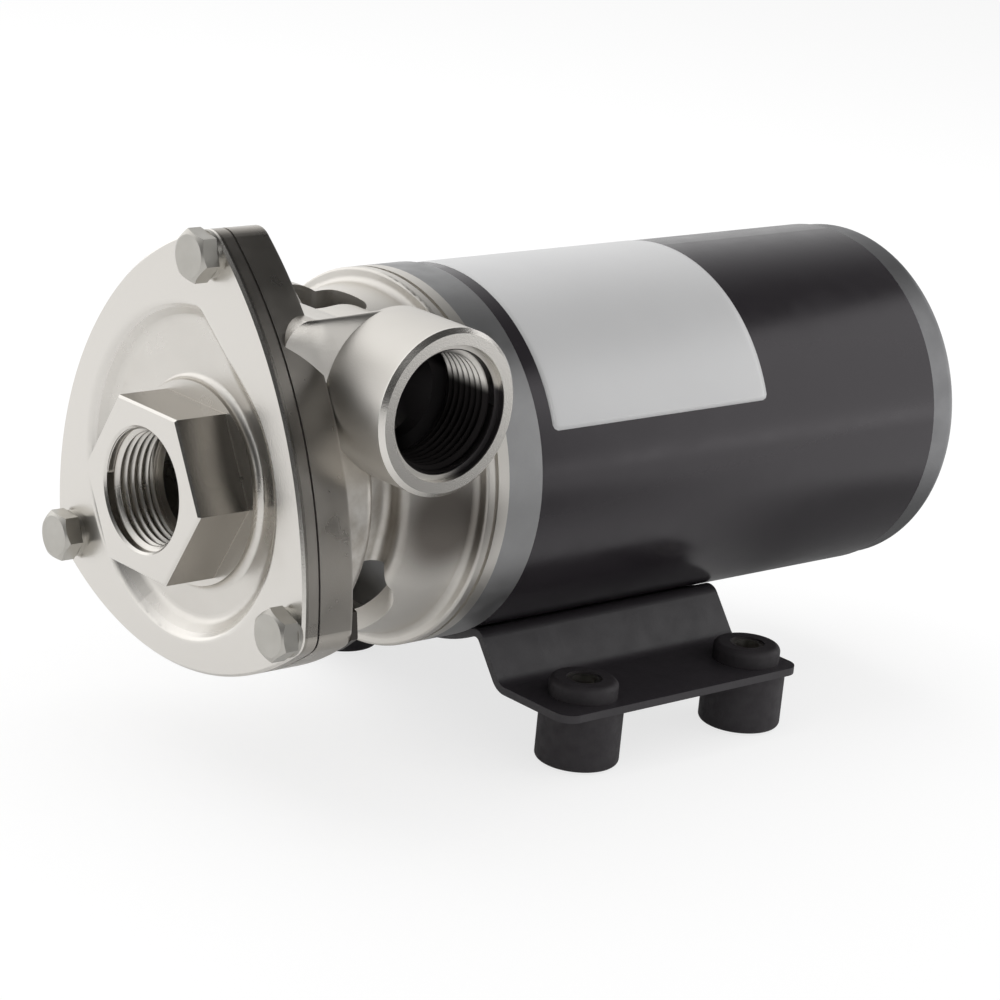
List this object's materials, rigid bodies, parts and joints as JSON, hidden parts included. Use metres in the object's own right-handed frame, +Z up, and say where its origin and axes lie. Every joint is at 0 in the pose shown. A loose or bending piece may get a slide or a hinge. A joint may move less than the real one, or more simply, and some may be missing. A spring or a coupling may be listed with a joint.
{
  "type": "centrifugal pump",
  "caption": "Close-coupled stainless centrifugal pump on a cylindrical direct-current motor, with side outlet, axial inlet and a bracket on rubber feet.",
  "frame": {"origin": "centre of the four base holes, on the floor under the rubber feet", "axes": "+X along the shaft from the inlet towards the motor's rear, +Y away from the outlet, +Z up"},
  "size_m": [0.212, 0.1056, 0.1178],
  "materials": {
    "cast_stainless": "bead-blasted casting with machined port faces",
    "cast_aluminium": "satin",
    "shell_paint": "semi-gloss black",
    "bracket_paint": "satin black",
    "black_rubber": "matt",
    "bright_steel": "satin",
    "impeller_steel": "cast, satin",
    "dark_steel": "dark, oiled",
    "spring_steel": "drawn wire",
    "lamination_steel": "laminated",
    "copper": "enamelled copper",
    "holder_brass": "pressed brass",
    "brush_carbon": "carbon",
    "ferrite": "sintered ferrite",
    "seat_ceramic": "lapped",
    "card_laminate": "phenolic sheet"
  },
  "bodies": {
    "pump_body": {"front_cover": "cast_stainless", "pump_casing": "cast_stainless", "front_end_bell": "cast_aluminium", "rear_end_bell": "cast_aluminium", "motor_shell": "shell_paint", "mounting_bracket": "bracket_paint", "rubber_foot_1": "black_rubber", "rubber_foot_2": "black_rubber", "rubber_foot_3": "black_rubber", "rubber_foot_4": "black_rubber", "cable_grommet": "black_rubber", "cover_gasket": "black_rubber", "seal_seat_cup": "black_rubber", "cover_bolt_1": "bright_steel", "cover_bolt_2": "bright_steel", "cover_bolt_3": "bright_steel", "cover_washer_1": "bright_steel", "cover_washer_2": "bright_steel", "cover_washer_3": "bright_steel", "foot_sleeve_1": "bright_steel", "foot_sleeve_2": "bright_steel", "foot_sleeve_3": "bright_steel", "foot_sleeve_4": "bright_steel", "bearing_front": "bright_steel", "bearing_rear": "bright_steel", "cover_nut_2": "dark_steel", "cover_nut_3": "dark_steel", "tie_bolt_1": "dark_steel", "tie_bolt_2": "dark_steel", "bracket_screw_1": "dark_steel", "bracket_screw_2": "dark_steel", "wave_washer": "spring_steel", "brush_holder_1": "holder_brass", "brush_holder_2": "holder_brass", "field_magnet_1": "ferrite", "field_magnet_2": "ferrite", "seal_seat_ring": "seat_ceramic", "brush_card": "card_laminate"},
    "rotor": {"shaft": "bright_steel", "impeller": "impeller_steel", "impeller_nut": "bright_steel", "seal_head": "brush_carbon", "seal_spring": "spring_steel", "slinger": "black_rubber", "armature_core": "lamination_steel", "armature_windings": "copper", "commutator": "copper"},
    "brush_upper": {"brush_1": "brush_carbon", "brush_spring_1": "spring_steel"},
    "brush_lower": {"brush_2": "brush_carbon", "brush_spring_2": "spring_steel"}
  },
  "joints": [
    {"name": "rotor_spin", "type": "hinge", "parent": "pump_body", "child": "rotor", "pos_m": [0, 0, 0.062], "axis": [1, 0, 0], "continuous": true},
    {"name": "brush_upper_slide", "type": "slide", "parent": "pump_body", "child": "brush_upper", "axis": [0, 0, 1], "range_m": [0, 0.003], "stiffness_N_per_m": 150, "springref_m": -0.02, "deforming": ["brush_spring_1"]},
    {"name": "brush_lower_slide", "type": "slide", "parent": "pump_body", "child": "brush_lower", "axis": [0, 0, -1], "range_m": [0, 0.003], "stiffness_N_per_m": 150, "springref_m": -0.02, "deforming": ["brush_spring_2"]}
  ]
}
